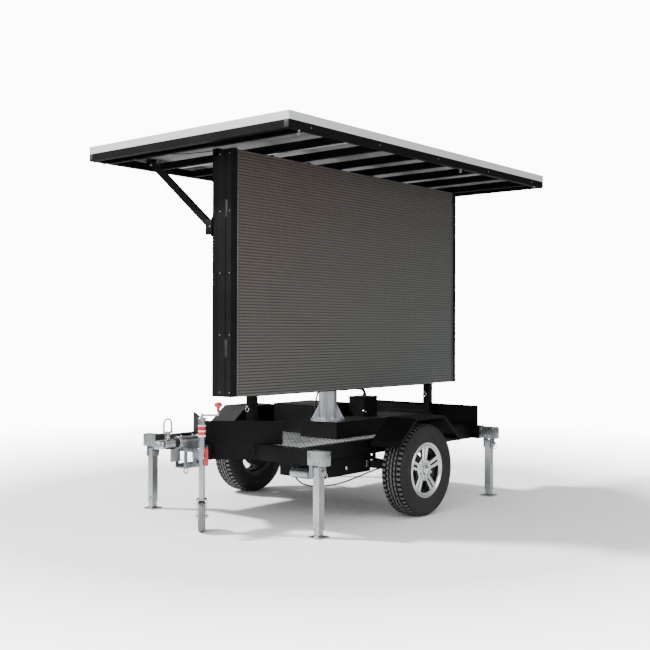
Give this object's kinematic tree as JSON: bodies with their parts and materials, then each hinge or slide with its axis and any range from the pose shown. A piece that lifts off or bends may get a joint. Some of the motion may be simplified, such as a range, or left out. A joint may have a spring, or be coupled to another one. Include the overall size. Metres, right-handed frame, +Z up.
{
  "type": "led message trailer",
  "caption": "Towed trailer with a wide LED display on a lifting, turning mast under a flat solar roof, with fold-up support legs, jockey wheel and overrun coupling.",
  "frame": {"origin": "middle of the trailer's plan outline, on the ground", "axes": "+X to the rear of the trailer, away from the hitch, +Y to the off side, +Z up; the display faces -Y"},
  "size_m": [3.31, 1.917, 2.59],
  "materials": {
    "frame_black": "satin black powder coat",
    "panel_black": "black powder-coated sheet",
    "tread_plate": "bright five-bar or diamond tread plate",
    "mast_silver": "brushed silver",
    "galvanised": "hot-dip galvanised",
    "zinc_casting": "bright zinc plate",
    "tyre_rubber": "black tyre rubber",
    "alloy": "silver-lacquered cast alloy",
    "hub_steel": "machined steel with chrome cap",
    "jockey_tyre": "grey solid rubber",
    "red_paint": "gloss red paint",
    "cabinet_grey": "dark grey powder coat",
    "led_face": "matt LED mask with louvres",
    "solar": "white-framed solar module",
    "lamp_red": "red lens",
    "cord_black": "black sheath",
    "bellows_rubber": "black moulded rubber",
    "battery_case": "moulded case",
    "bright_pin": "bright plated"
  },
  "bodies": {
    "chassis": {"chassis_frame": "frame_black", "deck_plate": "tread_plate", "guard_panels": "panel_black", "spine_cover": "panel_black", "fenders": "panel_black", "mast_outer_tube": "mast_silver", "axle_beam": "frame_black", "toolbox": "panel_black", "equipment_cabinet": "cabinet_grey", "batteries": "battery_case", "control_box": "cabinet_grey", "hydraulic_motor": "galvanised", "tail_lamps": "lamp_red", "rest_posts": "frame_black", "overrun_housing": "zinc_casting", "jockey_clamp": "red_paint", "jockey_outer_tube": "galvanised", "brake_cable": "cord_black", "conduits": "cord_black", "bellows": "bellows_rubber"},
    "mast": {"mast_inner_tube": "mast_silver"},
    "display": {"display_cabinet": "cabinet_grey", "led_modules": "led_face", "display_back_frame": "frame_black", "roof_frame": "frame_black", "solar_panels": "solar", "roof_braces": "frame_black"},
    "display_door": {"service_door": "cabinet_grey"},
    "box_door": {"toolbox_door": "panel_black"},
    "cabinet_door": {"equipment_cabinet_door": "cabinet_grey"},
    "front_pin": {"lock_pin_front": "bright_pin"},
    "rear_pin": {"lock_pin_rear": "bright_pin"},
    "coupling": {"coupling_head": "zinc_casting"},
    "handle": {"coupling_handle": "zinc_casting"},
    "jockey_inner": {"jockey_inner_tube": "galvanised"},
    "jockey_swivel_fork": {"jockey_fork": "galvanised"},
    "jockey_roller": {"jockey_wheel": "jockey_tyre"},
    "jockey_handle": {"jockey_crank": "galvanised"},
    "wheel_left": {"tyre_left": "tyre_rubber", "rim_left": "alloy", "hub_left": "hub_steel"},
    "wheel_right": {"tyre_right": "tyre_rubber", "rim_right": "alloy", "hub_right": "hub_steel"},
    "arm_front_left": {"outrigger_arm_front_left": "frame_black", "leg_fork_front_left": "galvanised"},
    "swing_leg_front_left": {"leg_front_left": "galvanised"},
    "foot_leg_front_left": {"foot_front_left": "galvanised"},
    "arm_rear_left": {"outrigger_arm_rear_left": "frame_black", "leg_fork_rear_left": "galvanised"},
    "swing_leg_rear_left": {"leg_rear_left": "galvanised"},
    "foot_leg_rear_left": {"foot_rear_left": "galvanised"},
    "arm_front_right": {"outrigger_arm_front_right": "frame_black", "leg_fork_front_right": "galvanised"},
    "swing_leg_front_right": {"leg_front_right": "galvanised"},
    "foot_leg_front_right": {"foot_front_right": "galvanised"},
    "arm_rear_right": {"outrigger_arm_rear_right": "frame_black", "leg_fork_rear_right": "galvanised"},
    "swing_leg_rear_right": {"leg_rear_right": "galvanised"},
    "foot_leg_rear_right": {"foot_rear_right": "galvanised"}
  },
  "joints": [
    {"name": "mast_lift", "type": "slide", "parent": "chassis", "child": "mast", "axis": [0, 0, 1], "range_m": [0, 1]},
    {"name": "display_turn", "type": "hinge", "parent": "mast", "child": "display", "pos_m": [0.05, 0.0185, 1.956], "axis": [0, 0, 1], "range_deg": [-175, 175]},
    {"name": "wheel_spin_left", "type": "hinge", "parent": "chassis", "child": "wheel_left", "pos_m": [0.05, -0.8075, 0.325], "axis": [0, 1, 0], "continuous": true},
    {"name": "wheel_spin_right", "type": "hinge", "parent": "chassis", "child": "wheel_right", "pos_m": [0.05, 0.8445, 0.325], "axis": [0, 1, 0], "continuous": true},
    {"name": "outrigger_slide_front_left", "type": "slide", "parent": "chassis", "child": "arm_front_left", "axis": [0, -1, 0], "range_m": [0, 0.3]},
    {"name": "leg_swing_front_left", "type": "hinge", "parent": "arm_front_left", "child": "swing_leg_front_left", "pos_m": [-1, -0.7755, 0.42], "axis": [0, -1, 0], "range_deg": [0, 90]},
    {"name": "foot_extend_front_left", "type": "slide", "parent": "swing_leg_front_left", "child": "foot_leg_front_left", "axis": [0, 0, -1], "range_m": [0, 0.25]},
    {"name": "outrigger_slide_rear_left", "type": "slide", "parent": "chassis", "child": "arm_rear_left", "axis": [0, -1, 0], "range_m": [0, 0.3]},
    {"name": "leg_swing_rear_left", "type": "hinge", "parent": "arm_rear_left", "child": "swing_leg_rear_left", "pos_m": [1.1, -0.7755, 0.42], "axis": [0, 1, 0], "range_deg": [0, 90]},
    {"name": "foot_extend_rear_left", "type": "slide", "parent": "swing_leg_rear_left", "child": "foot_leg_rear_left", "axis": [0, 0, -1], "range_m": [0, 0.25]},
    {"name": "outrigger_slide_front_right", "type": "slide", "parent": "chassis", "child": "arm_front_right", "axis": [0, 1, 0], "range_m": [0, 0.3]},
    {"name": "leg_swing_front_right", "type": "hinge", "parent": "arm_front_right", "child": "swing_leg_front_right", "pos_m": [-1, 0.8125, 0.42], "axis": [0, -1, 0], "range_deg": [0, 90]},
    {"name": "foot_extend_front_right", "type": "slide", "parent": "swing_leg_front_right", "child": "foot_leg_front_right", "axis": [0, 0, -1], "range_m": [0, 0.25]},
    {"name": "outrigger_slide_rear_right", "type": "slide", "parent": "chassis", "child": "arm_rear_right", "axis": [0, 1, 0], "range_m": [0, 0.3]},
    {"name": "leg_swing_rear_right", "type": "hinge", "parent": "arm_rear_right", "child": "swing_leg_rear_right", "pos_m": [1.1, 0.8125, 0.42], "axis": [0, 1, 0], "range_deg": [0, 90]},
    {"name": "foot_extend_rear_right", "type": "slide", "parent": "swing_leg_rear_right", "child": "foot_leg_rear_right", "axis": [0, 0, -1], "range_m": [0, 0.25]},
    {"name": "toolbox_door_hinge", "type": "hinge", "parent": "chassis", "child": "box_door", "pos_m": [-0.5475, -0.6365, 0.443], "axis": [-1, 0, 0], "range_deg": [0, 100]},
    {"name": "cabinet_door_hinge", "type": "hinge", "parent": "chassis", "child": "cabinet_door", "pos_m": [0.555, 0.6175, 0.635], "axis": [0, 0, 1], "range_deg": [0, 110]},
    {"name": "service_door_hinge", "type": "hinge", "parent": "display", "child": "display_door", "pos_m": [1.27, -0.1545, 1.45], "axis": [0, 0, -1], "range_deg": [0, 100]},
    {"name": "overrun_slide", "type": "slide", "parent": "chassis", "child": "coupling", "axis": [1, 0, 0], "range_m": [0, 0.022], "stiffness_N_per_m": 8000, "springref_m": -0.005, "deforming": ["bellows"]},
    {"name": "coupling_handle_lift", "type": "hinge", "parent": "coupling", "child": "handle", "pos_m": [-1.555, 0.0185, 0.622], "axis": [0, 1, 0], "range_deg": [0, 45]},
    {"name": "front_pin_pull", "type": "slide", "parent": "chassis", "child": "front_pin", "axis": [-1, 0, 0], "range_m": [0, 0.06]},
    {"name": "rear_pin_pull", "type": "slide", "parent": "chassis", "child": "rear_pin", "axis": [-1, 0, 0], "range_m": [0, 0.06]},
    {"name": "jockey_crank_turn", "type": "hinge", "parent": "chassis", "child": "jockey_handle", "pos_m": [-1.37, -0.1015, 0.752], "axis": [0, 0, 1], "range_deg": [0, 9000]},
    {"name": "jockey_slide", "type": "slide", "parent": "chassis", "child": "jockey_inner", "axis": [0, 0, 1], "range_m": [0, 0.2005]},
    {"name": "jockey_swivel", "type": "hinge", "parent": "jockey_inner", "child": "jockey_swivel_fork", "pos_m": [-1.37, -0.1015, 0.218], "axis": [0, 0, 1], "continuous": true},
    {"name": "jockey_wheel_spin", "type": "hinge", "parent": "jockey_swivel_fork", "child": "jockey_roller", "pos_m": [-1.34608, -0.07594, 0.1], "axis": [-0.7302, 0.6833, 0], "continuous": true}
  ],
  "couplings": [
    {"joint": "jockey_slide", "follows": "jockey_crank_turn", "m_per_rad": 0.0012732}
  ]
}
